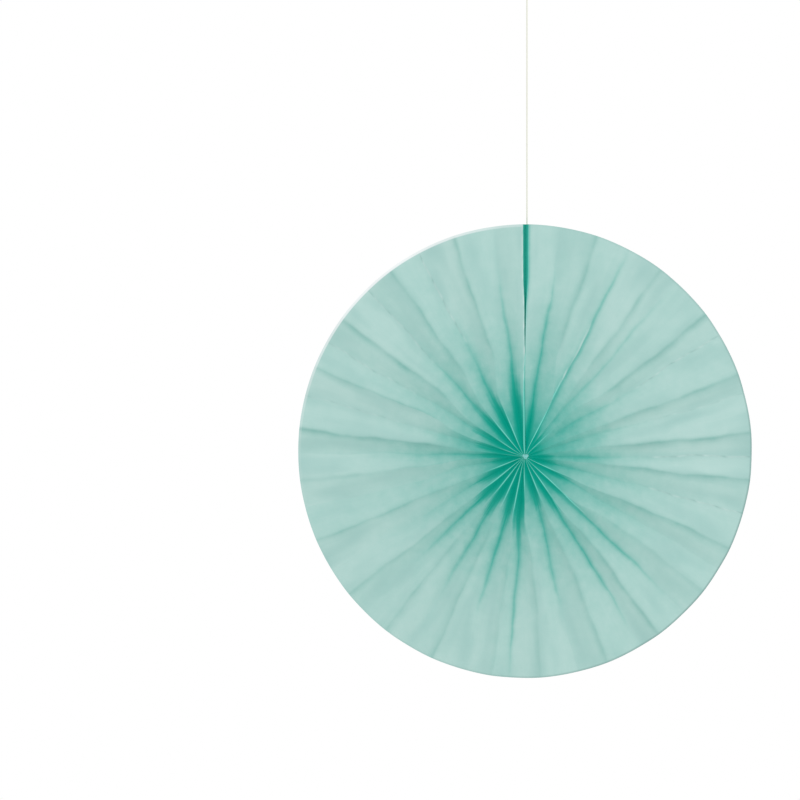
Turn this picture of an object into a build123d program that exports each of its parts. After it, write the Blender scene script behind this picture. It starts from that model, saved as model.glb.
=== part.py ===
"""Paper fan rosette: a strip of pleated paper, drawn together at its centre and hung on a thread.

The front faces -Y, +Z is up along the thread, and the origin is the middle of the round rim.
"""
import os
from math import cos, exp, hypot, pi, radians, sin

from build123d import *

# Paper disc, whose folds run to a point a little below the middle of its rim
DISC_DIAMETER = 320.0
PAPER = 0.3
GATHER_DROP = 3.8
GATHER_HOLE = 4.0

# Pleats, deep where they are drawn together and nearly flat at the rim
CENTRE_DEPTH = 18.0
RIM_DEPTH = 3.2
FLATTENING_LENGTH = 26.0
THICKEST_FOLD_SHARE = 0.3
STATION_SHARES = (0.04, 0.09, 0.15, 0.23, 0.33, 0.47, 0.7)

# Creases in degrees clockwise from the seam at the top, as unevenly as the paper opens
VALLEY_ANGLES = (
    9, 27, 41, 58, 74, 90, 104.5, 120, 134.5, 148.5, 166.5, 184,
    197, 212, 226, 240, 257, 271, 285.5, 300, 316.5, 332.5, 352,
)
RIDGE_ANGLES = (
    18, 36, 52, 69, 84, 96, 114, 127, 143, 158, 176,
    189, 205, 219, 232, 248, 264, 277, 293, 307, 324, 342,
)

# Seam, where the two ends of the strip stand back to back and gape towards the rim
GLUE_FILM = 0.1
SLIT_WIDTH = 3.6
SLIT_START_SHARE = 0.5
SLIT_DEPTH = 5.2
PINCHED_SEAM_SHARE = 0.4

# Tie in the gathered centre
TIE_CLEARANCE = 0.3
TIE_KNOT_DIAMETER = 4.6
TIE_KNOT_HEIGHT = 1.2

# Hanging thread, held by a knot behind the hole in the seam
THREAD_DIAMETER = 1.2
THREAD_HOLE = 2.0
HOLE_DROP = 9.0
HOLE_DEPTH_SHARE = 0.4
THREAD_RISE = 164.0
STOPPER_DIAMETER = 3.4
STOPPER_HEIGHT = 2.6

# Knot and loop at the upper end of the thread
LOOP_KNOT_DIAMETER = 4.2
LOOP_KNOT_HEIGHT = 5.0
LOOP_LEG = 24.0
LOOP_LEG_GAP = 0.4
LOOP_HALF_ANGLE = 16.0

# Roundness of the knots, and how far uncut shapes run past their cuts
KNOT_BULGE_SHARE = 0.7
OVERRUN = 2.0

DISC_RADIUS = DISC_DIAMETER / 2
GATHER_RADIUS = GATHER_HOLE / 2
BACK = CENTRE_DEPTH / 2
SLIT_FLOOR = SLIT_DEPTH - RIM_DEPTH / 2
SLIT_START = SLIT_START_SHARE * DISC_RADIUS
STATIONS = (
    GATHER_RADIUS,
    *(share * DISC_RADIUS for share in STATION_SHARES),
    DISC_RADIUS + GATHER_DROP + OVERRUN,
)


def half_depth(radius):
    """Half the depth of the pleats at a distance from the gathered centre."""
    fade = exp((GATHER_RADIUS - radius) / FLATTENING_LENGTH)
    return (RIM_DEPTH + (CENTRE_DEPTH - RIM_DEPTH) * fade) / 2


def fold_thickness(radius):
    """Thickness of the slanting paper, measured from front to back."""
    panel_width = pi * radius / len(VALLEY_ANGLES)
    depth = 2 * half_depth(radius)
    return min(PAPER * hypot(1, depth / panel_width), THICKEST_FOLD_SHARE * depth)


def seam_thickness(radius):
    """Thickness of each layer of the seam, which is pinched near the centre."""
    room = radius * radians(VALLEY_ANGLES[0])
    return min(PAPER, PINCHED_SEAM_SHARE * room)


def crease(radius, angle, front):
    """The front and back of a crease on the disc, at a radius from the gathered centre."""
    turn = radians(angle)
    x, z = radius * sin(turn), radius * cos(turn) - GATHER_DROP
    return Vector(x, front, z), Vector(x, front + fold_thickness(radius), z)


def ridge(angle):
    """A crease that comes forward."""
    return [crease(radius, angle, -half_depth(radius)) for radius in STATIONS]


def valley(angle):
    """A crease that goes back."""
    return [crease(radius, angle, half_depth(radius) - fold_thickness(radius)) for radius in STATIONS]


def seam_ridge(side):
    """The fold from the disc into the seam, on the right (1) or the left (-1)."""
    points = []
    for radius in STATIONS:
        gape = max(0, SLIT_WIDTH / 2 * (radius - SLIT_START) / (DISC_RADIUS - SLIT_START))
        inside = GLUE_FILM / 2 + gape
        outside = inside + seam_thickness(radius)
        z, y = radius - GATHER_DROP, -half_depth(radius)
        points.append((Vector(side * inside, y, z), Vector(side * outside, y + fold_thickness(radius), z)))
    return points


def seam_line(side, y):
    """A line along one layer of the seam, at a depth behind the middle plane."""
    points = []
    for radius in STATIONS:
        inside = GLUE_FILM / 2
        outside = inside + seam_thickness(radius)
        z = radius - GATHER_DROP
        points.append((Vector(side * inside, y, z), Vector(side * outside, y, z)))
    return points


def spline_edge(points):
    """A smooth line from the gathered centre to past the rim."""
    with BuildLine() as line:
        Spline(*points)
    return line.edge()


def straight_edge(start, end):
    """A straight line between two points."""
    with BuildLine() as line:
        Line(start, end)
    return line.edge()


# The strip's creases in order, from one glued end round the disc to the other
strip = [seam_line(1, BACK), seam_line(1, SLIT_FLOOR), seam_ridge(1)]
for valley_angle, ridge_angle in zip(VALLEY_ANGLES, RIDGE_ANGLES):
    strip += [valley(valley_angle), ridge(ridge_angle)]
strip += [valley(VALLEY_ANGLES[-1]), seam_ridge(-1), seam_line(-1, SLIT_FLOOR), seam_line(-1, BACK)]

fronts = [spline_edge([front for front, back in points]) for points in strip]
backs = [spline_edge([back for front, back in points]) for points in strip]
ruled = Face.make_surface_from_curves
paper_faces = [ruled(fronts[0], backs[0]), ruled(fronts[-1], backs[-1])]
for side in (fronts, backs):
    paper_faces += [ruled(first, second) for first, second in zip(side, side[1:])]
for first, second in zip(strip, strip[1:]):
    for end in (0, -1):
        front = straight_edge(first[end][0], second[end][0])
        back = straight_edge(first[end][1], second[end][1])
        paper_faces.append(ruled(front, back))

HOLE_Y = SLIT_FLOOR + HOLE_DEPTH_SHARE * (BACK - SLIT_FLOOR)
HOLE_Z = DISC_RADIUS - HOLE_DROP
SEAM_SIDE = GLUE_FILM / 2 + PAPER

with BuildPart() as pleated_disc:
    add(Solid(Shell(paper_faces)), clean=False)
    with BuildSketch(Plane.XZ):
        Circle(DISC_RADIUS)
    extrude(amount=CENTRE_DEPTH, both=True, clean=False, mode=Mode.INTERSECT)
    with BuildSketch(Plane.YZ):
        with Locations((HOLE_Y, HOLE_Z)):
            Circle(THREAD_HOLE / 2)
    extrude(amount=SEAM_SIDE + OVERRUN, both=True, clean=False, mode=Mode.SUBTRACT)

# The tie fills the hole in the middle and is knotted in front and behind
tie_seat = BACK + TIE_CLEARANCE
tie_end = tie_seat + TIE_KNOT_HEIGHT
tie_radius = GATHER_RADIUS - TIE_CLEARANCE
knot_radius = TIE_KNOT_DIAMETER / 2
knot_bulge = (KNOT_BULGE_SHARE * knot_radius, tie_seat + KNOT_BULGE_SHARE * TIE_KNOT_HEIGHT)
with BuildPart() as centre_tie:
    with BuildSketch(Plane.XY.offset(-GATHER_DROP)):
        with BuildLine():
            Polyline((knot_radius, tie_seat), (tie_radius, tie_seat), (tie_radius, 0), (0, 0), (0, tie_end))
            ThreePointArc((0, tie_end), knot_bulge, (knot_radius, tie_seat))
        make_face()
    revolve(axis=Axis((0, 0, -GATHER_DROP), (0, 1, 0)))
    mirror(about=Plane.XZ)

# The thread comes through the seam, turns up beside it and rises to the loop
THREAD_X = SEAM_SIDE + THREAD_DIAMETER
THREAD_TOP = DISC_RADIUS + THREAD_RISE
with BuildPart() as hanging_thread:
    with BuildLine():
        thread_route = FilletPolyline(
            (-SEAM_SIDE, HOLE_Y, HOLE_Z),
            (THREAD_X, HOLE_Y, HOLE_Z),
            (THREAD_X, HOLE_Y, THREAD_TOP),
            radius=THREAD_DIAMETER,
        )
    with BuildSketch(Plane(thread_route @ 0, z_dir=thread_route % 0)):
        Circle(THREAD_DIAMETER / 2)
    sweep()

stopper_plane = Plane((-SEAM_SIDE, HOLE_Y, HOLE_Z), x_dir=(0, 0, 1), z_dir=(0, 1, 0))
with BuildPart() as stopper_knot:
    with BuildSketch(stopper_plane):
        with BuildLine():
            Polyline((STOPPER_DIAMETER / 2, 0), (0, 0), (0, -STOPPER_HEIGHT))
            ThreePointArc(
                (0, -STOPPER_HEIGHT),
                (KNOT_BULGE_SHARE * STOPPER_DIAMETER / 2, -KNOT_BULGE_SHARE * STOPPER_HEIGHT),
                (STOPPER_DIAMETER / 2, 0),
            )
        make_face()
    revolve(axis=Axis(stopper_plane.origin, stopper_plane.y_dir))

LOOP_START = THREAD_TOP + LOOP_KNOT_HEIGHT
leg_half = (THREAD_DIAMETER + LOOP_LEG_GAP) / 2
knot_flat = leg_half + THREAD_DIAMETER / 2
knot_plane = Plane((THREAD_X, HOLE_Y, THREAD_TOP), x_dir=(1, 0, 0), z_dir=(0, -1, 0))
with BuildPart() as loop_knot:
    with BuildSketch(knot_plane):
        with BuildLine():
            Polyline((knot_flat, 0), (0, 0), (0, LOOP_KNOT_HEIGHT), (knot_flat, LOOP_KNOT_HEIGHT))
            ThreePointArc(
                (knot_flat, LOOP_KNOT_HEIGHT),
                (LOOP_KNOT_DIAMETER / 2, LOOP_KNOT_HEIGHT / 2),
                (knot_flat, 0),
            )
        make_face()
    revolve(axis=Axis(knot_plane.origin, knot_plane.y_dir))

# The loop's legs are cut off level where they enter the knot
loop_plane = Plane((THREAD_X, HOLE_Y, LOOP_START), x_dir=(1, 0, 0), z_dir=(0, -1, 0))
lean = radians(LOOP_HALF_ANGLE)
leg_cut = THREAD_DIAMETER / 4
loop_radius = (leg_half + LOOP_LEG * sin(lean)) / cos(lean)
foot_x, foot_z = leg_half - leg_cut * sin(lean), -leg_cut * cos(lean)
head_x, head_z = leg_half + LOOP_LEG * sin(lean), LOOP_LEG * cos(lean)
with BuildPart() as hanging_loop:
    with BuildLine(loop_plane) as loop_route:
        first_leg = Line((-foot_x, foot_z), (-head_x, head_z))
        JernArc((-head_x, head_z), (-sin(lean), cos(lean)), loop_radius, -180 - 2 * LOOP_HALF_ANGLE)
        Line((head_x, head_z), (foot_x, foot_z))
    with BuildSketch(Plane(first_leg @ 0, z_dir=first_leg % 0)):
        Circle(THREAD_DIAMETER / 2)
    sweep()
    split(bisect_by=Plane.XY.offset(LOOP_START), keep=Keep.TOP)

LOOP_TOP = LOOP_START + LOOP_LEG * cos(lean) + loop_radius * (1 + sin(lean)) - THREAD_DIAMETER / 2
print(f"thread {thread_route.length:.1f} mm long, bend radius {THREAD_DIAMETER:.1f} mm")
print(f"loop {loop_route.wire().length:.1f} mm round, bend radius {loop_radius:.1f} mm")
print(f"hanging point {THREAD_X:.2f}, {HOLE_Y:.2f}, {LOOP_TOP:.2f} mm")

os.makedirs("parts", exist_ok=True)
pleated_disc.part.label = "pleated_disc"
export_step(pleated_disc.part, "parts/pleated_disc.step")
centre_tie.part.label = "centre_tie"
export_step(centre_tie.part, "parts/centre_tie.step")
hanging_thread.part.label = "hanging_thread"
export_step(hanging_thread.part, "parts/hanging_thread.step")
stopper_knot.part.label = "stopper_knot"
export_step(stopper_knot.part, "parts/stopper_knot.step")
loop_knot.part.label = "loop_knot"
export_step(loop_knot.part, "parts/loop_knot.step")
hanging_loop.part.label = "hanging_loop"
export_step(hanging_loop.part, "parts/hanging_loop.step")
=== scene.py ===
"""Paper fan rosette: the looks of the pleated mint paper, its centre tie and its hanging thread.

Sizes are in millimetres, as on the part, and become metres as each mesh is made.
The front faces -Y, and angles run clockwise from the seam at the top.
"""
import logging
import math
from dataclasses import dataclass, field, replace
from enum import Enum
from typing import Any

import bpy
import numpy as np
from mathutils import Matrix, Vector


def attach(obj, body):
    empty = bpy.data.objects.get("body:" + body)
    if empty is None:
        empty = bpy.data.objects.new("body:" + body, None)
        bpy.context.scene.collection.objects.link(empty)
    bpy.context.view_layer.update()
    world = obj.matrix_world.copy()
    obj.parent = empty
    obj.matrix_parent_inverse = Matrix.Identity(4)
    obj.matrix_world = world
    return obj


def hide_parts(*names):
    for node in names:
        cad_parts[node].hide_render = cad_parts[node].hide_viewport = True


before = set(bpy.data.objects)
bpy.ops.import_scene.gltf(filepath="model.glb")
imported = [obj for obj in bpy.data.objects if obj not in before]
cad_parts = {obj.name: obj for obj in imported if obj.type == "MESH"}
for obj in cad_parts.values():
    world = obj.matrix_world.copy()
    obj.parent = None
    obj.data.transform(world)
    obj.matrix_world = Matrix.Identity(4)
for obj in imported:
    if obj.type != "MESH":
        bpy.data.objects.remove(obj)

Array = np.ndarray
Material = bpy.types.Material
Piece = bpy.types.Object
Point = tuple[float, float, float]
Socket = bpy.types.NodeSocket
Span = tuple[float, float]
Tree = bpy.types.NodeTree

LOG = logging.getLogger("rosette")
MM = 0.001
SEED = 7963
HALF_TURN = 180
NOISE_MIDDLE = 0.5
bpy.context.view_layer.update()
PAINTS = ("shade", "cool_shade", "mint_highlight", "grey_shade_and_crack", "pale_highlight_and_crack")
STRIP = "strip"


class Crease(Enum):
    """What a line along the strip of paper is."""

    FIN_EDGE = "cut end of the strip, behind the seam"
    FIN_FLOOR = "line where the two ends of the strip meet"
    SEAM = "fold from the disc into the seam"
    VALLEY = "fold that goes back"
    RIDGE = "fold that comes forward"


@dataclass(frozen=True)
class Line:
    """A line along the strip, from the gather to the rim. Near the gather it may bow aside, by degrees."""

    angle: float
    bow: float = 0.0
    kind: Crease = field(default=Crease.FIN_EDGE, kw_only=True)

    @property
    def side(self) -> int:
        """Tell the disc's halves apart: 1 for the right, -1 for the left."""
        return 1 if self.angle < HALF_TURN else -1


@dataclass(frozen=True)
class Valley(Line):
    """A fold that goes back.

    Near the gather its painted deep shade fills the pleat like a flame, which narrows to a line at a share
    of the radius, bluntly if its taper is small. The painted shade line then runs on to its reach. A painted
    middle shade can stand instead, a glint is how far out the edge before the fold carries a painted
    highlight, and a crack is how much the colour has broken along the outer part. Crowd is how far a ridge
    that leans over it closes it at the gather.
    """

    flame: float = 0.0
    dark: float = 0.0
    reach: float = 1.0
    mid_shade: float = 0.0
    taper: float = 0.6
    glint: float = 0.0
    crack: float = 0.0
    crowd: float = 0.0
    kind: Crease = field(default=Crease.VALLEY, kw_only=True)


@dataclass(frozen=True)
class Ridge(Line):
    """A fold that comes forward, with a painted highlight as far as a share of the radius and a painted
    shade line outside.

    The two folds at the seam have these values too.
    """

    rub: float = 0.0
    ridge_shade: float = 0.0
    kind: Crease = field(default=Crease.RIDGE, kw_only=True)


VALLEYS = (
    Valley(9, -0.5, 0.30, 0.50, 0.80, taper=1.5),
    Valley(27, -0.3, 0.16, 0.42, 1.00, mid_shade=0.85, glint=0.7),
    Valley(41, -2.0, 0.13, 0.17, 0.95, mid_shade=0.9),
    Valley(58, -3.0, 0.08, 0.18, 0.58, mid_shade=1.0, crack=0.7),
    Valley(74, -1.5, 0.08, 0.13, 0.55, mid_shade=1.0, crack=0.3),
    Valley(90, 0.5, 0.13, 0.36, 0.44, mid_shade=0.88, crack=0.8),
    Valley(104.5, -0.5, 0.15, 0.32, 0.38, mid_shade=0.35, crack=0.8),
    Valley(120, -1.0, 0.23, 0.36, 0.36, taper=0.9),
    Valley(134.5, 0.8, 0.25, 0.48, 0.86, taper=0.7, glint=0.46),
    Valley(148.5, 0.3, 0.31, 0.50, 0.86, taper=0.8, glint=0.36),
    Valley(166.5, -1.2, 0.24, 0.44, 0.72, taper=0.45),
    Valley(184, 2.0, 0.38, 0.42, 1.00, taper=0.7),
    Valley(197, 1.0, 0.32, 0.64, 0.72, taper=0.7),
    Valley(212, 2.0, 0.33, 0.46, 0.72, taper=0.75),
    Valley(226, 1.0, 0.32, 0.46, 0.62, taper=0.7),
    Valley(240, 1.2, 0.24, 0.34, 0.42),
    Valley(257, 4.0, 0.16, 0.10, 0.48),
    Valley(271, 1.5, 0.20, 0.50, 0.46),
    Valley(285.5, -1.0, 0.23, 0.24, 0.38, mid_shade=1.15, crack=0.4),
    Valley(300, -1.0, 0.25, 0.28, 0.40, crack=0.5),
    Valley(316.5, -2.0, 0.29, 0.44, 0.58, taper=0.9, crack=0.6),
    Valley(332.5, -1.5, 0.33, 0.54, 0.54, taper=0.9, crack=0.8),
    Valley(352, -1.0, 0.42, 0.38, 0.84, taper=1.15),
)
RIDGES = (
    Ridge(18, 7.6, 0.24, 0.7),
    Ridge(36, 1.0, 0.0, 0.65),
    Ridge(52, -6.0, 0.12, 1.0),
    Ridge(69, -2.0, 0.0, 0.8),
    Ridge(84, -2.0, 0.0, 1.1),
    Ridge(96, 0.0, 0.0, 1.0),
    Ridge(114, 1.5, 0.17, 0.8),
    Ridge(127, 6.4, 0.24, 0.35),
    Ridge(143, 3.5, 0.22, 0.9),
    Ridge(158, 1.5, 0.20, 0.6),
    Ridge(176, 4.5, 0.17, 0.5),
    Ridge(189, 3.5, 0.27, 0.4),
    Ridge(205, 1.0, 0.23, 0.6),
    Ridge(219, 0.5, 0.22, 0.5),
    Ridge(232, -0.5, 0.23, 0.5),
    Ridge(248, 0.8, 0.17, 0.65),
    Ridge(264, 3.5, 0.0, 0.4),
    Ridge(277, -0.5, 0.07, 1.1),
    Ridge(293, -4.2, 0.11, 0.7),
    Ridge(307, -4.5, 0.14, 0.9),
    Ridge(324, -5.2, 0.21, 0.7),
    Ridge(342, -6.0, 0.21, 0.75),
)


def linear(code: str) -> tuple[float, float, float, float]:
    """Turn an sRGB hex colour into the linear colour that a shader takes.

    Args:
        code: six hex digits, with or without a leading hash.

    Returns:
        Red, green, blue and an alpha of 1.
    """
    values = [int(code.lstrip("#")[i:i + 2], 16) / 255 for i in (0, 2, 4)]
    red, green, blue = (v / 12.92 if v <= 0.04045 else ((v + 0.055) / 1.055) ** 2.4 for v in values)
    return red, green, blue, 1.0


def ease(low: float, high: float, value: Array) -> Array:
    """Rise smoothly from 0 at low to 1 at high.

    Args:
        low: where the rise starts.
        high: where it ends.
        value: where to read it.

    Returns:
        The eased values, from 0 to 1.
    """
    step = np.clip((value - low) / (high - low), 0, 1)
    return step * step * (3 - 2 * step)


def add_node(tree: Tree, kind: str, inputs: dict[Any, Any], **settings: Any) -> bpy.types.Node:
    """Add a shader node, set its properties, and link or set its inputs.

    Args:
        tree: the material's node tree.
        kind: the node's type name.
        inputs: socket name or number to a value, or to the output socket that feeds it.
        settings: the node's own properties.

    Returns:
        The new node.
    """
    node = tree.nodes.new(kind)
    for name, value in settings.items():
        setattr(node, name, value)
    for name, value in inputs.items():
        if isinstance(value, Socket):
            tree.links.new(value, node.inputs[name])
        else:
            node.inputs[name].default_value = value
    return node


def maths(tree: Tree, operation: str, *values: Any, clamp: bool = False) -> Socket:
    """Add a maths node.

    Args:
        tree: the material's node tree.
        operation: what it works out.
        values: its inputs, each a number or the socket that feeds it.
        clamp: whether its result is kept from 0 to 1.

    Returns:
        Its output.
    """
    inputs = dict(enumerate(values))
    return add_node(tree, "ShaderNodeMath", inputs, operation=operation, use_clamp=clamp).outputs[0]


def new_material(name: str) -> tuple[Material, Tree, bpy.types.Node]:
    """Start a material that has only its Principled shader.

    Args:
        name: what the real material is.

    Returns:
        The material, its node tree and its Principled node.
    """
    material = bpy.data.materials.new(name)
    material.use_nodes = True
    tree = material.node_tree
    return material, tree, tree.nodes["Principled BSDF"]


def select_only(piece: Piece) -> None:
    """Select one object alone, so that an operator acts on nothing else.

    Args:
        piece: the object.
    """
    bpy.ops.object.select_all(action="DESELECT")
    piece.select_set(True)
    bpy.context.view_layer.objects.active = piece


@dataclass(frozen=True)
class PaperFinish:
    """Mint paper: pale where it lies flat, with painted shade in a deep teal where the pleats crowd
    together.
    """

    name: str = "mint_coloured_paper"
    # Colours: the pale paper running to the deep teal of its painted shade, the cool colour of painted shade
    # on panels turned from the light, a mint painted highlight, the grey of painted shade and of cracked
    # folds, and the pale of painted highlights and of cracked folds
    tones: tuple[str, ...] = ("#BADAD5", "#8AC4BB", "#5BB2A6", "#2DA493", "#009884")
    cool_shade: str = "#A2CAC5"
    mint_highlight: str = "#86E6D9"
    grey_shade_and_crack: str = "#84A4A0"
    pale_highlight_and_crack: str = "#F3F8F9"
    cloud_mm: float = 8.0
    cloud: float = 0.03
    ragged: float = 1.3
    grain_mm: Span = (2.4, 40.0)
    grain: float = 0.03
    drift_mm: Span = (16.0, 48.0)
    drift_middle: float = 0.46
    drift_cool: float = 2.4
    drift_shade: float = 0.07
    flat_power: float = 6.0
    fibre_mm: float = 0.35
    tooth: float = 0.25
    tooth_mm: float = 0.04
    roughness: Span = (0.82, 0.97)
    gloss: float = 0.04

    def make(self) -> Material:
        """Make the paper's material from the painted shade and painted highlights on the sheet.

        Returns:
            The material.
        """
        material, tree, shader = new_material(self.name)
        paint = {
            key: add_node(tree, "ShaderNodeAttribute", {}, attribute_name=key).outputs["Fac"]
            for key in PAINTS
        }
        place = add_node(tree, "ShaderNodeTexCoord", {}).outputs["Object"]
        strip = add_node(tree, "ShaderNodeAttribute", {}, attribute_name=STRIP).outputs["Vector"]
        rest = maths(tree, "SUBTRACT", 1.0, paint["shade"])
        mottled = self.mottle(tree, place, strip, paint["shade"], rest)

        # Broad patches along the flat panels, some lighter and some darker and cooler
        patch = self.patches(tree, strip, rest)
        toned = maths(tree, "MULTIPLY_ADD", patch, self.drift_shade, mottled)
        # The patches also mix in the cool colour that the painted shade gives panels turned from the light
        paint["cool_shade"] = maths(tree, "MULTIPLY_ADD", patch, self.drift_cool, paint["cool_shade"], clamp=True)
        # The ramp runs from the pale paper to the deep teal of the painted shade
        ramp = add_node(tree, "ShaderNodeValToRGB", {"Fac": toned})
        last = len(self.tones) - 1
        stops = ramp.color_ramp.elements
        for k in range(1, last):
            stops.new(k / last)
        for stop, code in zip(stops, self.tones):
            stop.color = linear(code)

        # Painted shade cools the panels turned from the light, painted highlights brighten fold edges,
        # painted shade greys the ridge lines and one side of the rim, a painted highlight whitens the other
        # side, and cracked folds add grey and pale dashes
        colour = ramp.outputs["Color"]
        for key, code in zip(PAINTS[1:], (self.cool_shade, self.mint_highlight, self.grey_shade_and_crack, self.pale_highlight_and_crack)):
            over = add_node(
                tree, "ShaderNodeMix", {0: paint[key], 6: colour, 7: linear(code)}, data_type="RGBA"
            )
            colour = over.outputs[2]
        tree.links.new(colour, shader.inputs["Base Color"])

        # Short fibres that catch the light as a fine tooth on the matt sheet
        fibres = add_node(
            tree, "ShaderNodeTexNoise",
            {"Vector": place, "Scale": 1 / (self.fibre_mm * MM), "Detail": 4.0, "Roughness": 0.65},
        ).outputs["Fac"]
        low, high = self.roughness
        rough = maths(tree, "MULTIPLY_ADD", fibres, high - low, low)
        tree.links.new(rough, shader.inputs["Roughness"])
        bump = add_node(
            tree, "ShaderNodeBump",
            {"Height": fibres, "Strength": self.tooth, "Distance": self.tooth_mm * MM},
        )
        tree.links.new(bump.outputs["Normal"], shader.inputs["Normal"])
        shader.inputs["Specular IOR Level"].default_value = self.gloss
        return material

    def streaks(self, tree: Tree, strip: Socket, size_mm: Span, detail: float) -> Socket:
        """Make a noise that is drawn out along the pleats.

        Args:
            tree: the paper's node tree.
            strip: places on the strip as it lies flat.
            size_mm: the size of its marks across and along the pleats.
            detail: how many finer layers it has.

        Returns:
            The noise, from 0 to 1.
        """
        across, along = (1 / (size * MM) for size in size_mm)
        stretch = add_node(
            tree, "ShaderNodeVectorMath", {0: strip, 1: (across, along, 0)}, operation="MULTIPLY"
        )
        noise = add_node(
            tree, "ShaderNodeTexNoise", {"Vector": stretch.outputs[0], "Scale": 1.0, "Detail": detail},
            noise_dimensions="2D",
        )
        return noise.outputs["Fac"]

    def mottle(self, tree: Tree, place: Socket, strip: Socket, shade: Socket, rest: Socket) -> Socket:
        """Break up the painted shade with soft clouds and a faint grain along the pleats.

        Args:
            tree: the paper's node tree.
            place: places on the object.
            strip: places on the strip as it lies flat.
            shade: the painted shade.
            rest: what the shade leaves up to 1.

        Returns:
            The uneven shade.
        """
        # The clouds are strongest at the ragged edges of the painted deep shade
        clouds = add_node(
            tree, "ShaderNodeTexNoise",
            {"Vector": place, "Scale": 1 / (self.cloud_mm * MM), "Detail": 4.0, "Roughness": 0.6},
        )
        edges = maths(tree, "MULTIPLY", rest, shade)
        sway = maths(tree, "MULTIPLY_ADD", edges, self.ragged, self.cloud)
        uneven = maths(tree, "SUBTRACT", clouds.outputs["Fac"], NOISE_MIDDLE)
        clouded = maths(tree, "MULTIPLY_ADD", uneven, sway, shade)
        grain = maths(tree, "SUBTRACT", self.streaks(tree, strip, self.grain_mm, detail=3.0), NOISE_MIDDLE)
        return maths(tree, "MULTIPLY_ADD", grain, self.grain, clouded)

    def patches(self, tree: Tree, strip: Socket, rest: Socket) -> Socket:
        """Make the broad patches, which fade out where the paper is shaded.

        Args:
            tree: the paper's node tree.
            strip: places on the strip as it lies flat.
            rest: what the painted shade leaves up to 1.

        Returns:
            How far each place swings to one side or the other.
        """
        flat = maths(tree, "POWER", rest, self.flat_power)
        drift = self.streaks(tree, strip, self.drift_mm, detail=1.0)
        swing = maths(tree, "SUBTRACT", drift, self.drift_middle)
        return maths(tree, "MULTIPLY", swing, flat)


@dataclass(frozen=True)
class ThreadFinish:
    """Undyed cotton thread: warm white, matt, with short fibres on each ply."""

    name: str = "undyed_cotton_thread"
    light: str = "#F5F6EC"
    dim: str = "#DFE0D0"
    fibre_mm: float = 0.22
    flecks: Span = (0.30, 0.65)
    fuzz: float = 0.4
    fuzz_mm: float = 0.05
    roughness: float = 0.9
    gloss: float = 0.2

    def make(self) -> Material:
        """Make the thread's material.

        Returns:
            The material.
        """
        material, tree, shader = new_material(self.name)
        place = add_node(tree, "ShaderNodeTexCoord", {}).outputs["Object"]
        # Fibres break up the plain colour into light and dim flecks
        fibres = add_node(
            tree, "ShaderNodeTexNoise", {"Vector": place, "Scale": 1 / (self.fibre_mm * MM), "Detail": 3.0}
        ).outputs["Fac"]
        ramp = add_node(tree, "ShaderNodeValToRGB", {"Fac": fibres})
        for stop, code, position in zip(ramp.color_ramp.elements, (self.dim, self.light), self.flecks):
            stop.color = linear(code)
            stop.position = position
        tree.links.new(ramp.outputs["Color"], shader.inputs["Base Color"])
        bump = add_node(
            tree, "ShaderNodeBump",
            {"Height": fibres, "Strength": self.fuzz, "Distance": self.fuzz_mm * MM},
        )
        tree.links.new(bump.outputs["Normal"], shader.inputs["Normal"])
        shader.inputs["Roughness"].default_value = self.roughness
        shader.inputs["Specular IOR Level"].default_value = self.gloss
        return material


@dataclass(frozen=True)
class Column:
    """A row of points from the gather to the rim, on a panel between a valley and a ridge.

    A panel lies before its valley or after it, faces the light from -1 to 1, and has a tone of its own.
    """

    valley: Valley
    ridge: Ridge
    before: bool
    facing: float
    tone: float
    r: Array
    share: Array
    rim: Array
    valley_deg: Array
    valley_mm: Array
    ridge_mm: Array
    rim_angle: float


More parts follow.
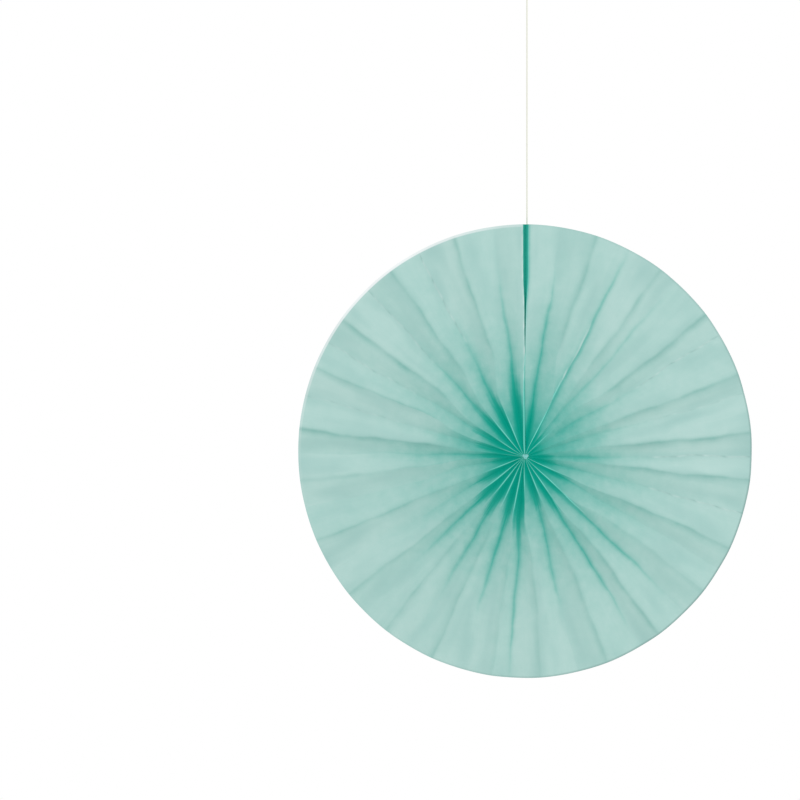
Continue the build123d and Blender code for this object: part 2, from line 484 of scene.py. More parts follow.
@dataclass(frozen=True)
class Shading:
    """The painted shade that deepens the paper's colour, the painted highlights on its folds and rim, and
    its cracks. Shares are of the way from the gather to the rim.
    """

    # Painted deep shade at the gather, and a painted middle shade that can take its place
    deep_shade_share: float = 0.175
    deep_shade_power: float = 2.2
    deep_shade_shrink: float = 0.36
    mid_shade: float = 0.43
    mid_shade_share: Span = (0.16, 0.50)
    merge_power: float = 4.0

    # Painted shade in a valley: a flame near the gather, and the line and halo that it narrows to
    flame: float = 0.95
    flame_deg: float = 12.0
    flame_soft_deg: float = 4.0
    flame_fade: Span = (0.5, 1.3)
    flicker: float = 0.08
    flicker_turns: Span = (1.9, 0.7)
    line: float = 0.70
    line_mm: float = 1.3
    line_spread_mm: float = 0.4
    line_spread_share: float = 0.25
    line_power: float = 1.4
    line_end: Span = (-0.35, 0.10)
    halo: float = 0.38
    halo_mm: float = 6.0
    halo_share: Span = (0.35, 0.80)
    gather_share: Span = (0.08, 0.20)

    # A ridge: a painted highlight along it near the gather, and a painted shade line outside, wider on the
    # side turned from the light
    rub: float = 0.88
    highlight_mm: Span = (0.10, 0.31)
    highlight_slope: float = 0.016
    highlight_end: Span = (-0.08, 0.05)
    ridge_shade: float = 0.14
    ridge_shade_grey: float = 0.23
    ridge_shade_mm: float = 1.2
    ridge_shade_away_mm: float = 2.3
    ridge_shade_power: float = 1.5
    ridge_shade_share: Span = (0.22, 0.42)
    ridge_shade_delay: Span = (0.03, 0.02)
    ridge_shade_vary: float = 0.25
    ridge_shade_wave_mm: float = 6.5
    ridge_shade_start: float = 2.1

    # A painted highlight on the edge before a valley, and colour that has cracked along it in pale and grey
    # dashes
    glint: float = 0.75
    glint_mm: float = 1.3
    glint_share: Span = (0.20, 0.26)
    glint_end: float = 0.2
    glint_pale: float = 0.6
    glint_pale_share: Span = (0.28, 0.42)
    crack: float = 0.32
    crack_grey: float = 0.48
    crack_shade: float = 0.11
    crack_mm: float = 0.5
    crack_share: Span = (0.50, 0.62)
    dash_mm: Span = (1.9, 5.3)

    # The folds at the seam: painted shade beside the right one, and a painted highlight in pale dashes along
    # the left one
    seam_mm: float = 0.7
    right_seam_highlight: float = 0.5
    seam_shade: float = 0.5
    seam_shade_share: Span = (0.50, 0.75)
    left_seam_highlight: float = 0.9
    left_seam_highlight_share: Span = (0.25, 0.50)

    # The random tones of the panels, painted shade on panels turned from the light, and the cut rim: a
    # painted highlight round one angle and painted shade round another
    tone: float = 0.022
    tone_share: Span = (0.20, 0.50)
    cool_shade: float = 0.18
    pale_rim: Span = (322.0, 34.0)
    pale_rim_mm: Span = (1.3, 2.1)
    grey_rim: Span = (120.0, 75.0)
    grey_rim_mm: Span = (0.5, 1.4)

    def gather(self, share: Array, mid_shade: float = 0.0) -> Array:
        """Give the painted shade at the gather, a deep colour that covers the pleats.

        Args:
            share: how far out each point lies.
            mid_shade: how far a painted middle shade takes the place of the deep one.

        Returns:
            The shade at each point.
        """
        deep_shade_share = self.deep_shade_share * (1 - self.deep_shade_shrink * mid_shade)
        deep_shade = 1 / (1 + (share / deep_shade_share) ** self.deep_shade_power)
        middle = self.mid_shade * mid_shade * (1 - ease(*self.mid_shade_share, share))
        return (deep_shade**self.merge_power + middle**self.merge_power) ** (1 / self.merge_power)

    def flames(self, column: Column) -> Array:
        """Give the painted shade of the flame that fills a valley near the gather.

        Args:
            column: the points to shade.

        Returns:
            The shade at each point.
        """
        quick, slow = (math.sin(turns * column.rim_angle) for turns in self.flicker_turns)
        tip = column.valley.flame * (1 + self.flicker * quick * slow)
        width = self.flame_deg * np.clip(1 - column.share / tip, 0, 1) ** column.valley.taper
        outside = ease(-self.flame_soft_deg, self.flame_soft_deg, column.valley_deg - width)
        low, high = self.flame_fade
        return self.flame * (1 - outside) * (1 - ease(low * tip, high * tip, column.share))

    def fold_line(self, column: Column) -> Array:
        """Give the painted shade of the line along a valley and of the halo beside it.

        Args:
            column: the points to shade.

        Returns:
            The shade at each point.
        """
        valley, share = column.valley, column.share
        start, end = (valley.reach + step for step in self.line_end)
        thick = self.line_mm + self.line_spread_mm * np.exp(-share / self.line_spread_share)
        line = self.line * np.exp(-((column.valley_mm / thick) ** self.line_power))
        line = line * (1 - ease(start, end, share))
        halo = self.halo * np.exp(-column.valley_mm / self.halo_mm) * (1 - ease(*self.halo_share, share))
        strength = valley.dark * ease(*self.gather_share, share)
        return 1 - (1 - strength * line) * (1 - strength * halo)

    def ridge_shading(self, column: Column) -> Array:
        """Give the strength of the painted shade line along a ridge, wider on the side turned from the
        light.

        Args:
            column: the points to shade.

        Returns:
            The strength at each point.
        """
        ridge = column.ridge
        delays = (delay * abs(ridge.bow) for delay in self.ridge_shade_delay)
        start, end = (share + delay for share, delay in zip(self.ridge_shade_share, delays))
        vary = 1 + self.ridge_shade_vary * np.sin(column.r / self.ridge_shade_wave_mm + self.ridge_shade_start * ridge.angle)
        # The painted shade reaches further on the side turned from the light
        spread = self.ridge_shade_mm if column.facing > 0 else self.ridge_shade_away_mm
        width = np.exp(-((column.ridge_mm / spread) ** self.ridge_shade_power))
        return ridge.ridge_shade * ease(start, end, column.share) * vary * width

    def ridge_highlight(self, column: Column) -> Array:
        """Give the strength of the painted highlight along a ridge near the gather.

        Args:
            column: the points to shade.

        Returns:
            The strength at each point.
        """
        fine = np.clip(self.highlight_slope * column.r, *self.highlight_mm)
        start, end = (column.ridge.rub + step for step in self.highlight_end)
        return self.rub * np.exp(-((column.ridge_mm / fine) ** 2)) * (1 - ease(start, end, column.share))

    def glints(self, column: Column) -> tuple[Array, Array]:
        """Give the painted highlight on the edge before a valley.

        Args:
            column: the points to shade.

        Returns:
            The strength of the mint painted highlight at each point, and of the pale one.
        """
        valley, share = column.valley, column.share
        if not (column.before and valley.glint):
            return np.zeros_like(share), np.zeros_like(share)
        edge = np.exp(-(((column.valley_mm - self.glint_mm) / self.highlight_mm[1]) ** 2))
        edge = self.glint * edge * ease(*self.glint_share, share)
        edge = edge * (1 - ease(valley.glint - self.glint_end, valley.glint, share))
        outer = ease(*self.glint_pale_share, share)
        return edge * (1 - outer), self.glint_pale * edge * outer

    def rim(self, column: Column) -> tuple[Array, Array]:
        """Give the painted highlight and painted shade on the cut edge of the paper.

        Args:
            column: the points to shade.

        Returns:
            How strong the pale painted highlight is at each point, and how strong the grey painted shade.
        """
        made = []
        for (middle, spread), span in ((self.pale_rim, self.pale_rim_mm), (self.grey_rim, self.grey_rim_mm)):
            near = math.exp(-(((column.rim_angle - middle) / spread) ** 2))
            made.append(near * (1 - ease(*span, column.rim)))
        return made[0], made[1]

    def paint(self, column: Column) -> Array:
        """Paint a column: painted shade deep in the gather and along the valleys, painted highlights on the
        ridges and at the rim.

        Args:
            column: the points to shade.

        Returns:
            The paints at each point, in the order of PAINTS.
        """
        valley, ridge, share = column.valley, column.ridge, column.share
        ridge_shade, rub = self.ridge_shading(column), self.ridge_highlight(column)
        # Painted shade of the gather, the valleys and the ridge lines
        clear = (1 - self.gather(share, valley.mid_shade)) * (1 - self.flames(column))
        shade = 1 - clear * (1 - self.fold_line(column)) * (1 - self.ridge_shade * ridge_shade)

        short, long = (np.sin(column.r / size) for size in self.dash_mm)
        dashes = (1 + short * long) / 2
        crack = valley.crack * ease(*self.crack_share, share)
        crack = crack * np.exp(-((column.valley_mm / self.crack_mm) ** 2))
        split = crack * (1 - dashes)
        shade = shade + self.crack_shade * split
        # Painted highlights: along the ridges near the gather, and on the edges before valleys, which turn
        # pale further out
        bright, flecks = self.glints(column)
        rub = np.maximum(rub, bright)
        # Painted highlight and painted shade on the rim; the pale and grey dashes where the colour has
        # cracked are marks of the paper
        pale, grey = self.rim(column)
        pale = np.maximum(pale, np.maximum(flecks, self.crack * crack * dashes))
        grey = np.maximum(grey, np.maximum(self.ridge_shade_grey * ridge_shade, self.crack_grey * split))

        # Painted shade beside the right seam fold, and a painted highlight in pale dashes along the left one
        if ridge.kind is Crease.SEAM and ridge.side > 0:
            rub = rub * self.right_seam_highlight
            edge = np.exp(-column.ridge_mm / self.seam_mm)
            shade = shade + self.seam_shade * ease(*self.seam_shade_share, share) * edge
        elif ridge.kind is Crease.SEAM:
            edge = np.exp(-((column.ridge_mm / self.seam_mm) ** 2))
            pale = np.maximum(pale, self.left_seam_highlight * dashes * edge * ease(*self.left_seam_highlight_share, share))
        shade = np.clip(shade + self.tone * (1 + column.tone) * ease(*self.tone_share, share), 0, 1)
        # Painted shade: panels turned from the light take the cool colour
        cool_shade = self.cool_shade * (1 - column.facing) / 2 * (1 - shade) ** 2
        return np.stack([shade, cool_shade, rub, grey, pale], 1)


@dataclass(frozen=True)
class Accidents:
    """What chance gives each line and panel of paper that is folded by hand.

    They are where the wander of a line starts, how far a panel is dished, and how deep its tone is.
    """

    phases: Array
    bulges: Array
    tones: Array

    @classmethod
    def draw(cls, count: int) -> "Accidents":
        """Draw them, the same each time.

        Args:
            count: how many lines there are.

        Returns:
            The accidents, by line.
        """
        rng = np.random.default_rng(SEED)
        phases = rng.uniform(0, 2 * math.pi, (count, 3))
        bulges = rng.normal(0, 1, count)
        return cls(phases, bulges, rng.uniform(-1, 1, count))


@dataclass(frozen=True)
class PleatedSheet:
    """The strip of paper, pleated, gathered at its middle and closed behind a seam at the top."""

    # The disc and its pleats
    radius: float = 160.0
    gather_drop: float = 3.8
    gather_radius: float = 2.4
    eye: float = 0.75
    centre_depth: float = 18.0
    rim_depth: float = 3.2
    flattening: float = 26.0
    paper: float = 0.3
    groove_length: float = 30.0
    open_gap: float = 7.0

    # How the folds lean at the gather, bow, wander in waves of a length and a size in degrees, and round off
    lean: float = 18.0
    lean_share: float = 0.045
    bow_share: Span = (0.24, 0.46)
    wander: tuple[Span, ...] = ((17.0, 0.35), (7.3, 0.18), (2.9, 0.11))
    wander_share: Span = (0.08, 0.30)
    steady: float = 0.6
    steady_share: Span = (0.70, 1.00)
    roundness: Span = (0.1, 0.9)
    round_share: Span = (0.20, 0.75)

    # How the panels are dished
    dish: float = 0.28
    dish_wave: float = 0.22
    dish_wave_length: float = 23.0
    dish_share: Span = (0.25, 0.60)

    # The seam: the slit in front, and the ends of the strip behind
    seam_bow: float = -1.5
    seam_back: float = 9.0
    hairline: float = 0.05
    slit_start: float = 0.45
    slit_start_share: Span = (0.42, 0.62)
    slit_half: float = 1.75
    slit_half_share: Span = (0.62, 0.82)
    slit_shift: float = 0.6
    slit_shift_share: Span = (0.55, 0.82)
    slit_depth: float = 1.2
    slit_shade: float = 0.8

    # The light that the panels are toned for, and the mesh
    light_angle: float = 32.0
    smooth_angle: float = 32.0
    rows: int = 78
    row_even: float = 0.35
    row_power: float = 2.2
    rim_rows: tuple[float, ...] = (2.0, 1.5, 1.0, 0.0)
    panel_steps: tuple[float, ...] = (0, 0.03, 0.08, 0.16, 0.28, 0.42, 0.58, 0.72, 0.84, 0.92, 0.97)
    seam_steps: tuple[float, ...] = (0, 0.35, 0.7)
    shading: Shading = Shading()

    def half_depth(self, r: Array) -> Array:
        """Give half the depth of the pleats.

        Args:
            r: distance from the gathered centre.

        Returns:
            Half the distance from the ridges' front to the valleys' back.
        """
        fade = np.exp(np.minimum(self.gather_radius - r, 0) / self.flattening)
        return (self.rim_depth + (self.centre_depth - self.rim_depth) * fade) / 2

    def groove(self, r: Array) -> Array:
        """Give the depth of the folds that can be seen, which close up where the paper is gathered.

        Args:
            r: distance from the gathered centre.

        Returns:
            The distance from the ridges' front to the valleys' front.
        """
        return (self.rim_depth - self.paper) * (1 - np.exp(-r / self.groove_length))

    def gape(self, r: Array, side: int) -> Array:
        """Give how far one side of the slit stands open. It is a hairline inside and wide at the rim.

        Args:
            r: distance from the gathered centre.
            side: 1 for the right side, -1 for the left.

        Returns:
            The distance from the seam's middle to that fold.
        """
        share = r / self.radius
        half = self.hairline + (self.slit_start - self.hairline) * ease(*self.slit_start_share, share)
        half = half + (self.slit_half - self.slit_start) * ease(*self.slit_half_share, share)
        return half + side * self.slit_shift * ease(*self.slit_shift_share, share)

    def lines(self) -> list[Line]:
        """List the strip's lines from one glued end round the disc to the other.

        Returns:
            The lines in order.
        """
        ends = (0, 2 * HALF_TURN)
        first, last = (Ridge(angle, self.seam_bow, rub=1.0, kind=Crease.SEAM) for angle in ends)
        row = [first, *sorted(VALLEYS + RIDGES, key=lambda fold: fold.angle), last]
        places = [fold.angle + fold.bow for fold in row]
        for i, fold in enumerate(row):
            if fold.kind is Crease.VALLEY:
                gap = min(abs(places[i] - near) for near in (places[i - 1], places[i + 1]))
                row[i] = replace(fold, crowd=1 - min(1.0, gap / self.open_gap))
        fin = (Crease.FIN_EDGE, Crease.FIN_FLOOR)
        before, after = ([Line(angle, kind=kind) for kind in fin] for angle in ends)
        return [*before, *row, *after[::-1]]

    def make(self, material: Material) -> Piece:
        """Fold the strip into the disc and paint shade and highlights on it.

        Args:
            material: the paper.

        Returns:
            The sheet, standing for the CAD disc.
        """
        lines = self.lines()
        chance = Accidents.draw(len(lines))
        grow = np.linspace(0, 1, self.rows, endpoint=False)
        grow = self.row_even * grow + (1 - self.row_even) * grow**self.row_power
        columns = []
        for j, (first, second) in enumerate(zip(lines, lines[1:])):
            behind = Crease.FIN_FLOOR in (first.kind, second.kind)
            last = (1.0,) if j == len(lines) - 2 else ()
            for t in (self.seam_steps if behind else self.panel_steps) + last:
                turn = math.radians((1 - t) * first.angle + t * second.angle)
                reach = self.gather_drop * math.cos(turn)
                reach += math.sqrt(self.radius**2 - (self.gather_drop * math.sin(turn)) ** 2)
                inner = self.eye + (reach - self.rim_rows[0] - self.eye) * grow
                r = np.concatenate([inner, reach - np.array(self.rim_rows)])
                if behind:
                    columns.append(self.seam_column(first, second, t, r))
                else:
                    columns.append(self.panel_column(j, first, second, t, r, chance))
        fronts, backs, front_paints, back_paints = (np.array(part) for part in zip(*columns))
        return self.build(fronts, backs, front_paints, back_paints, material)

    def seam_column(self, first: Line, second: Line, t: float, r: Array) -> tuple[Array, ...]:
        """Set a column of the strip's two ends, which stand back to back behind the seam.

        Args:
            first: the line before the column.
            second: the line after it.
            t: how far the column lies from the first to the second.
            r: distances from the gathered centre.

        Returns:
            The column's front and back, and the paints on them.
        """
        side = first.side
        at = {
            Crease.FIN_EDGE: (np.full_like(r, self.hairline), np.full_like(r, self.seam_back)),
            Crease.FIN_FLOOR: (np.full_like(r, self.hairline), self.slit_depth - self.half_depth(r)),
            Crease.SEAM: (self.gape(r, side), -self.half_depth(r)),
        }
        x, y = ((1 - t) * start + t * end for start, end in zip(at[first.kind], at[second.kind]))
        z = r - self.gather_drop
        front = np.stack([side * x, y, z], 1)
        back = np.stack([side * (x + self.paper), y, z], 1)
        inside, outside = (np.zeros((len(r), len(PAINTS))) for _ in range(2))
        # Painted shade on the slit's walls, and the gather's painted shade on the backs of the ends
        inside[:, 0] = self.slit_shade
        outside[:, 0] = self.shading.gather(r / self.radius)
        return front, back, inside, outside

    def line_angle(self, line: Line, phases: Array, r: Array, share: Array) -> Array:
        """Give where a line runs, with its bow, its wander and its lean at the gather.

        Args:
            line: the line.
            phases: where each wave of its wander starts.
            r: distances from the gathered centre.
            share: the same as shares of the way to the rim.

        Returns:
            The line's angle at each distance.
        """
        if line.kind is Crease.SEAM:
            offset = line.side * np.degrees(np.arcsin(self.gape(r, line.side) / r))
        else:
            waves = zip(self.wander, phases)
            offset = sum(size * np.sin(r / length + start) for (length, size), start in waves)
            offset = offset * ease(*self.wander_share, share)
            offset = offset * (1 - self.steady * ease(*self.steady_share, share))
        bow = line.bow * (1 - ease(*self.bow_share, share))
        lean = self.lean * math.cos(math.radians(line.angle)) * np.exp(-share / self.lean_share)
        return line.angle + offset + bow - lean

    def panel_column(
        self, j: int, first: Line, second: Line, t: float, r: Array, chance: Accidents
    ) -> tuple[Array, ...]:
        """Set and paint a column of a panel between a valley and a ridge.

        Args:
            j: the panel's number.
            first: the line before the column.
            second: the line after it.
            t: how far the column lies from the first to the second.
            r: distances from the gathered centre, the last one at the rim.
            chance: the accidents of each line and panel.

        Returns:
            The column's front and back, and the paints on them.
        """
        share = r / r[-1]
        angles = [
            self.line_angle(line, phases, r, share)
            for line, phases in zip((first, second), chance.phases[j:j + 2])
        ]
        theta = (1 - t) * angles[0] + t * angles[1]
        turn = np.radians(theta)
        rises = second.kind is not Crease.VALLEY
        valley, ridge = (first, second) if rises else (second, first)
        valley_angle, ridge_angle = angles if rises else angles[::-1]

        up = t if rises else 1 - t
        low, high = self.roundness
        soft = low + (high - low) * ease(*self.round_share, share)
        rounded = (1 - soft) * up + soft * ease(0, 1, up)
        wave = self.dish_wave * np.sin(r / self.dish_wave_length + chance.phases[j, 2])
        dish = math.sin(math.pi * up) * ease(*self.dish_share, share) * (self.dish * chance.bulges[j] + wave)
        half, groove = self.half_depth(r), self.groove(r)
        opened = groove * (1 - valley.crowd * (1 - ease(*self.bow_share, share)))
        x, z = r * np.sin(turn), r * np.cos(turn) - self.gather_drop
        front = np.stack([x, opened * (1 - rounded) - half + dish, z], 1)
        back = np.stack([x, half - groove * rounded + dish, z], 1)

        facing = math.sin(math.radians(self.light_angle - ridge.angle)) * (-1 if rises else 1)
        valley_deg, ridge_deg = np.abs(theta - valley_angle), np.abs(theta - ridge_angle)
        paint = self.shading.paint(Column(
            valley=valley, ridge=ridge, before=not rises, facing=facing, tone=chance.tones[j],
            r=r, share=share, rim=r[-1] - r, valley_deg=valley_deg, valley_mm=np.radians(valley_deg) * r,
            ridge_mm=np.radians(ridge_deg) * r, rim_angle=theta[-1],
        ))
        return front, back, paint, paint

    def build(
        self, fronts: Array, backs: Array, front_paints: Array, back_paints: Array, material: Material
    ) -> Piece:
        """Make one closed sheet from the columns of its two sides.

        Args:
            fronts: the front's points, by column and row.
            backs: the back's points, likewise.
            front_paints: the paints on the front, likewise.
            back_paints: the paints on the back, likewise.
            material: the paper.

        Returns:
            The sheet.
        """
        columns, rows = fronts.shape[:2]
        number = np.arange(columns * rows).reshape(columns, rows)
        behind = number + columns * rows
        a, b, c, d = number[:-1, :-1], number[1:, :-1], number[1:, 1:], number[:-1, 1:]
        quads = [np.stack([a, d, c, b], -1).reshape(-1, 4)]
        quads.append((quads[0] + columns * rows)[:, ::-1])
        for edge, back_edge in (
            (number[:, 0], behind[:, 0]), (number[::-1, -1], behind[::-1, -1]),
            (number[0, ::-1], behind[0, ::-1]), (number[-1], behind[-1]),
        ):
            quads.append(np.stack([edge[:-1], edge[1:], back_edge[1:], back_edge[:-1]], -1))
        points = np.concatenate([fronts.reshape(-1, 3), backs.reshape(-1, 3)]) * MM
        mesh = bpy.data.meshes.new("pleated_paper_disc")
        mesh.from_pydata(points.tolist(), [], np.concatenate(quads).tolist())
        paints = np.concatenate([part.reshape(-1, len(PAINTS)) for part in (front_paints, back_paints)])
        for key, values in zip(PAINTS, paints.T):
            layer = mesh.attributes.new(key, "FLOAT", "POINT")
            layer.data.foreach_set("value", values.astype(np.float32))

        # Each point's place on the strip as it lies flat, for the patterns that follow the pleats
        steps = np.linalg.norm(np.diff(fronts[:, -1], axis=0), axis=1)
        along = np.concatenate([[0], np.cumsum(steps)])[:, None] * np.ones(rows)
        across = np.linalg.norm(fronts - fronts[:, :1], axis=2)
        strip = np.stack([along, across, np.zeros_like(along)], -1).reshape(-1, 3) * MM
        layer = mesh.attributes.new(STRIP, "FLOAT_VECTOR", "POINT")
        layer.data.foreach_set("vector", np.concatenate([strip, strip]).astype(np.float32).ravel())

        mesh.materials.append(material)
        sheet = bpy.data.objects.new(mesh.name, mesh)
        bpy.context.scene.collection.objects.link(sheet)
        select_only(sheet)
        bpy.ops.object.shade_smooth_by_angle(angle=math.radians(self.smooth_angle))
        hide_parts("pleated_disc")
        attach(sheet, "root")
        return sheet


@dataclass(frozen=True)
class Cord:
    """Twisted cotton thread, laid along a smooth route."""

    diameter: float = 1.2
    plies: int = 3
    ply_depth: float = 0.14
    pitch: float = 4.5
    spacing: float = 0.3
    fewest: int = 12
    sides: int = 15
    resolution: int = 48
    upright: float = 0.9

    def route(self, name: str, points: list[Point]) -> Array:
        """Read the smooth line that a few control points give.

        Args:
            name: what the line is.
            points: the control points.

        Returns:
            Points along the line, in millimetres.
        """
        curve = bpy.data.curves.new(name + "_route", "CURVE")
        curve.dimensions = "3D"
        spline = curve.splines.new("NURBS")
        spline.points.add(len(points) - 1)
        for point, control in zip(points, spline.points):
            control.co = (*[value * MM for value in point], 1)
        spline.order_u = 3
        spline.use_endpoint_u = True
        curve.resolution_u = self.resolution
        holder = bpy.data.objects.new(name + "_route", curve)
        line = bpy.data.meshes.new_from_object(holder)
        found = np.array([vertex.co for vertex in line.vertices]) / MM
        bpy.data.objects.remove(holder)
        bpy.data.meshes.remove(line)
        return found

    def make(self, name: str, route: Array, material: Material) -> Piece:
        """Lay the plies along a route.

        Args:
            name: the piece's name.
            route: points along its middle line.
            material: the thread's finish.

        Returns:
            The piece, riding on the root body.
        """
        steps = np.linalg.norm(np.diff(route, axis=0), axis=1)
        along = np.concatenate([[0], np.cumsum(steps)])
        count = max(self.fewest, int(along[-1] / self.spacing))
        marks = np.linspace(0, along[-1], count)
        line = np.stack([np.interp(marks, along, route[:, axis]) for axis in range(3)], 1)
        tangents = np.gradient(line, axis=0)
        tangents /= np.linalg.norm(tangents, axis=1)[:, None]
        across = np.array([0.0, 1.0, 0.0])
        if abs(tangents[0] @ across) > self.upright:
            across = np.array([1.0, 0.0, 0.0])
        verts, faces = [], []
        for mark, point, tangent in zip(marks, line, tangents):
            across = across - tangent * (across @ tangent)
            across /= np.linalg.norm(across)
            other = np.cross(tangent, across)
            twist = 2 * math.pi * mark / self.pitch
            for k in range(self.sides):
                angle = 2 * math.pi * k / self.sides
                lobe = 1 - self.ply_depth * (1 - math.cos(self.plies * (angle - twist)))
                outwards = across * math.cos(angle) + other * math.sin(angle)
                verts.append((point + self.diameter / 2 * lobe * outwards) * MM)
        for i in range(count - 1):
            for k in range(self.sides):
                n = (k + 1) % self.sides
                a, b = i * self.sides, (i + 1) * self.sides
                faces.append((a + k, a + n, b + n, b + k))
        faces.append(tuple(range(self.sides))[::-1])
        faces.append(tuple((count - 1) * self.sides + k for k in range(self.sides)))
        mesh = bpy.data.meshes.new(name)
        mesh.from_pydata([tuple(v) for v in verts], [], faces)
        mesh.update()
        for polygon in mesh.polygons:
            polygon.use_smooth = True
        piece = bpy.data.objects.new(name, mesh)
        bpy.context.scene.collection.objects.link(piece)
        mesh.materials.append(material)
        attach(piece, "root")
        return piece


class Axis(Enum):
    """Which way a knot's middle line points: which of its wide, high and long sizes lie on X, Y and Z."""

    X = (2, 0, 1)
    Y = (0, 2, 1)
    Z = (0, 1, 2)


@dataclass(frozen=True)
class Knot:
    """An overhand knot pulled tight: a small lump of crossing strands, shaped as a trefoil."""

    centre: Point
    axis: Axis
    wide: float
    high: float
    long: float
    strand: float
    voxel: float = 0.1
    count: int = 24
    trefoil_wide: float = 5.5
    trefoil_high: float = 5.1
    trefoil_middle: float = -0.47

    def points(self) -> list[Point]:
        """Give the strand's control points: in along the axis, round three crossing lobes, and out along it.

        Returns:
            The points, in order along the strand.
        """
        wide = (self.wide - self.strand) / self.trefoil_wide
        high = (self.high - self.strand) / self.trefoil_high
        long = (self.long - self.strand) / 2
        turns = [2 * math.pi * k / self.count for k in range(self.count + 1)]
        lobes = [
            (
                wide * (math.sin(t) + 2 * math.sin(2 * t)),
                high * (math.cos(t) - 2 * math.cos(2 * t) - self.trefoil_middle),
                long * math.sin(3 * t),
            )
            for t in turns
        ]
        path = [(0, 0, -self.long / 2), *lobes, (0, 0, self.long / 2)]
        return [tuple(self.centre[i] + point[self.axis.value[i]] for i in range(3)) for point in path]

    def weld(self, piece: Piece) -> None:
        """Merge the crossing strands of a piece into one closed surface.

        Args:
            piece: the piece whose strands cross.
        """
        select_only(piece)
        merge = piece.modifiers.new("weld", "REMESH")
        merge.mode = "VOXEL"
        merge.voxel_size = self.voxel * MM
        merge.use_smooth_shade = True
        bpy.ops.object.modifier_apply(modifier=merge.name)


@dataclass(frozen=True)
class CentreTie:
    """The thread that draws the pleats together: a knot on each face, and a strand between."""

    drop: float
    face: float = 9.8
    wide: float = 4.6
    high: float = 3.6
    deep: float = 1.2
    strand: float = 1.1
    pitch: float = 3.2
    spacing: float = 0.15
    through_shares: tuple[float, ...] = (-0.8, 0, 0.8)

    def make(self, material: Material) -> Piece:
        """Make the tie as one strand.

        Args:
            material: the thread's finish.

        Returns:
            The tie, standing for the CAD tie.
        """
        front, back = (
            Knot((0, side * self.face, -self.drop), Axis.Y, self.wide, self.high, self.deep, self.strand)
            for side in (-1, 1)
        )
        through = [(0, share * self.face, -self.drop) for share in self.through_shares]
        cord = Cord(diameter=self.strand, pitch=self.pitch, spacing=self.spacing)
        route = cord.route("gather_tie", front.points() + through + back.points())
        tie = cord.make("gather_tie_thread", route, material)
        front.weld(tie)
        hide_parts("centre_tie")
        return tie


@dataclass(frozen=True)
class HangingThread:
    """The thread that the disc hangs on, with its knots and the loop at its upper end."""

    cord: Cord = Cord()
    start: float = -0.35
    side: float = 1.55
    back: float = 5.76
    hole: float = 151.0
    lead_diameters: float = 6.0
    top: float = 324.0
    loop_start: float = 329.0
    length: float = 174.4
    stopper: Span = (2.6, 3.4)
    stopper_middle: float = -1.65
    loop_knot: Span = (5.0, 4.2)
    loop_half: tuple[Span, ...] = ((0.8, -1.0), (3.4, 9.0), (5.6, 16.5), (8.2, 27.2), (4.6, 32.9))

    def make(self, material: Material) -> list[Piece]:
        """Make the thread, its knots and its loop.

        Args:
            material: the thread's finish.

        Returns:
            The pieces.
        """
        d = self.cord.diameter
        points = [
            (self.start, self.back, self.hole), (self.side, self.back, self.hole),
            (self.side, self.back, self.hole + self.lead_diameters * d), (self.side, self.back, self.top),
        ]
        route = self.cord.route("hanging_thread", points)
        thread = self.cord.make("hanging_cotton_thread", route, material)
        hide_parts("hanging_thread")
        pieces = [*self.knots(material), self.loop(material)]
        return [thread, *pieces]

    def knots(self, material: Material) -> list[Piece]:
        """Tie the knot behind the hole and the knot under the loop.

        Args:
            material: the thread's finish.

        Returns:
            The two knots.
        """
        made = []
        middle = (self.top + self.loop_start) / 2
        for node, centre, axis, (long, wide) in (
            ("stopper_knot", (self.stopper_middle, self.back, self.hole), Axis.X, self.stopper),
            ("loop_knot", (self.side, self.back, middle), Axis.Z, self.loop_knot),
        ):
            knot = Knot(centre, axis, wide, wide, long, self.cord.diameter)
            route = self.cord.route(node, knot.points())
            piece = self.cord.make("cotton_" + node, route, material)
            knot.weld(piece)
            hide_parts(node)
            made.append(piece)
        return made

    def loop(self, material: Material) -> Piece:
        """Bend the loop that the thread hangs by.

        Args:
            material: the thread's finish.

        Returns:
            The loop.
        """
        points = [
            (self.side + side * x, self.back, self.loop_start + z)
            for side, half in ((-1, self.loop_half), (1, self.loop_half[::-1])) for x, z in half
        ]
        piece = self.cord.make("cotton_hanging_loop", self.cord.route("hanging_loop", points), material)
        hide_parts("hanging_loop")
        return piece


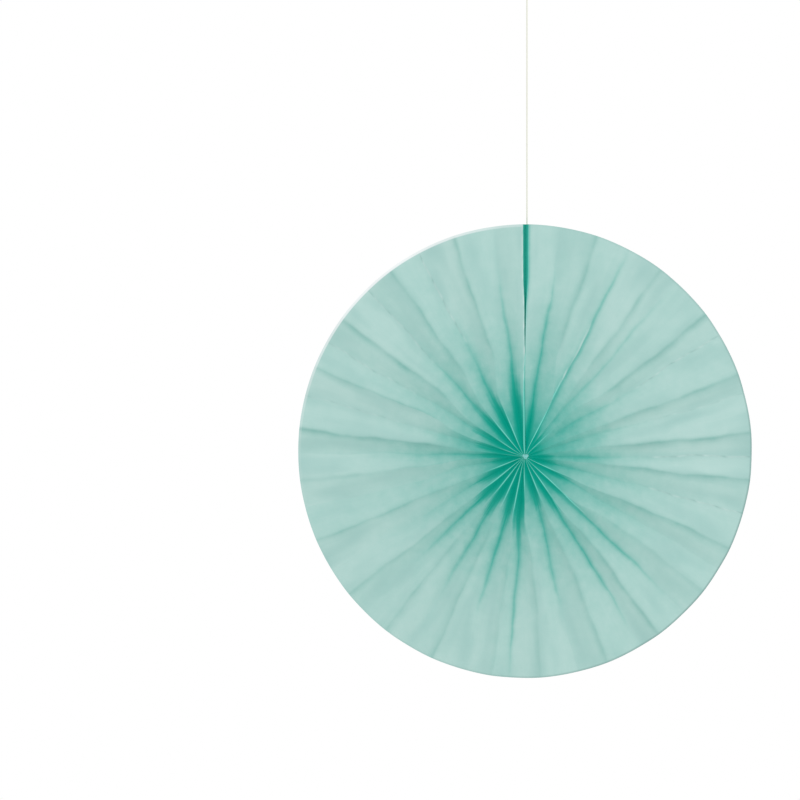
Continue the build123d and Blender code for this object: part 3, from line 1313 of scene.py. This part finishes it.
@dataclass(frozen=True)
class Studio:
    """A pale floor below, soft light from the upper right, white all round, and a long lens in front."""

    frame_width: float = 564.4
    aim_x: float = -88.2
    aim_z: float = 36.1
    distance: float = 3000.0
    sensor: float = 36.0
    lamp_place: Point = (900.0, -1500.0, 1450.0)
    lamp_size: float = 900.0
    lamp_power: float = 8.0
    ambient: float = 0.87
    floor_middle: Point = (0.0, -270.0, -300.0)
    floor_size: Span = (1800.0, 1300.0)
    floor_colour: str = "#F4F4F2"
    floor_roughness: float = 0.8

    def make(self) -> None:
        """Set the camera, the lamp, the world and the floor."""
        self.set_camera()
        self.set_lamp()
        self.set_world()
        self.set_floor()

    def set_camera(self) -> None:
        """Set the camera straight in front, with no perspective to speak of."""
        scene = bpy.context.scene
        camera = bpy.data.cameras.new("camera")
        camera.sensor_width = self.sensor
        camera.lens = self.sensor * self.distance / self.frame_width
        holder = bpy.data.objects.new("camera", camera)
        holder.location = Vector((self.aim_x, -self.distance, self.aim_z)) * MM
        holder.rotation_euler = (math.radians(90), 0, 0)
        scene.collection.objects.link(holder)
        scene.camera = holder
        scene.view_settings.view_transform = "Standard"

    def set_lamp(self) -> None:
        """Hang a round softbox that faces the middle of the frame."""
        lamp = bpy.data.lights.new("softbox", "AREA")
        lamp.shape = "DISK"
        lamp.size = self.lamp_size * MM
        lamp.energy = self.lamp_power
        box = bpy.data.objects.new("softbox", lamp)
        box.location = Vector(self.lamp_place) * MM
        box.rotation_euler = (-box.location).to_track_quat("-Z", "Y").to_euler()
        bpy.context.scene.collection.objects.link(box)

    def set_world(self) -> None:
        """Fill the room with soft light, and let the background show as plain white."""
        world = bpy.data.worlds.new("white_studio")
        world.use_nodes = True
        bpy.context.scene.world = world
        tree = world.node_tree
        rays = add_node(tree, "ShaderNodeLightPath", {}).outputs
        seen = maths(tree, "MAXIMUM", rays["Is Camera Ray"], rays["Is Glossy Ray"])
        through = maths(tree, "MAXIMUM", seen, rays["Is Transmission Ray"])
        strength = maths(tree, "MULTIPLY_ADD", through, 1 - self.ambient, self.ambient)
        background = tree.nodes["Background"]
        background.inputs["Color"].default_value = (1, 1, 1, 1)
        tree.links.new(strength, background.inputs["Strength"])

    def set_floor(self) -> None:
        """Lay the floor below the frame."""
        bpy.ops.object.select_all(action="DESELECT")
        bpy.ops.mesh.primitive_plane_add(size=1)
        floor = bpy.context.object
        floor.name = "floor"
        floor.scale = (*[side * MM for side in self.floor_size], 1)
        floor.location = Vector(self.floor_middle) * MM
        material, _, shader = new_material("pale_floor")
        shader.inputs["Base Color"].default_value = linear(self.floor_colour)
        shader.inputs["Roughness"].default_value = self.floor_roughness
        floor.data.materials.append(material)


def main() -> None:
    """Build the rosette and its studio in order."""
    logging.basicConfig(level=logging.INFO)
    Studio().make()
    paper = PaperFinish().make()
    cotton = ThreadFinish().make()
    tinted = ThreadFinish("mint_cotton_thread", "#96DCD8", "#5FB6AF").make()
    sheet = PleatedSheet()
    pieces = HangingThread().make(cotton)
    pieces.append(CentreTie(sheet.gather_drop).make(tinted))
    pieces.append(sheet.make(paper))
    for piece in pieces:
        LOG.info("%s: %d faces", piece.name, len(piece.data.polygons))


if __name__ == "__main__":
    main()
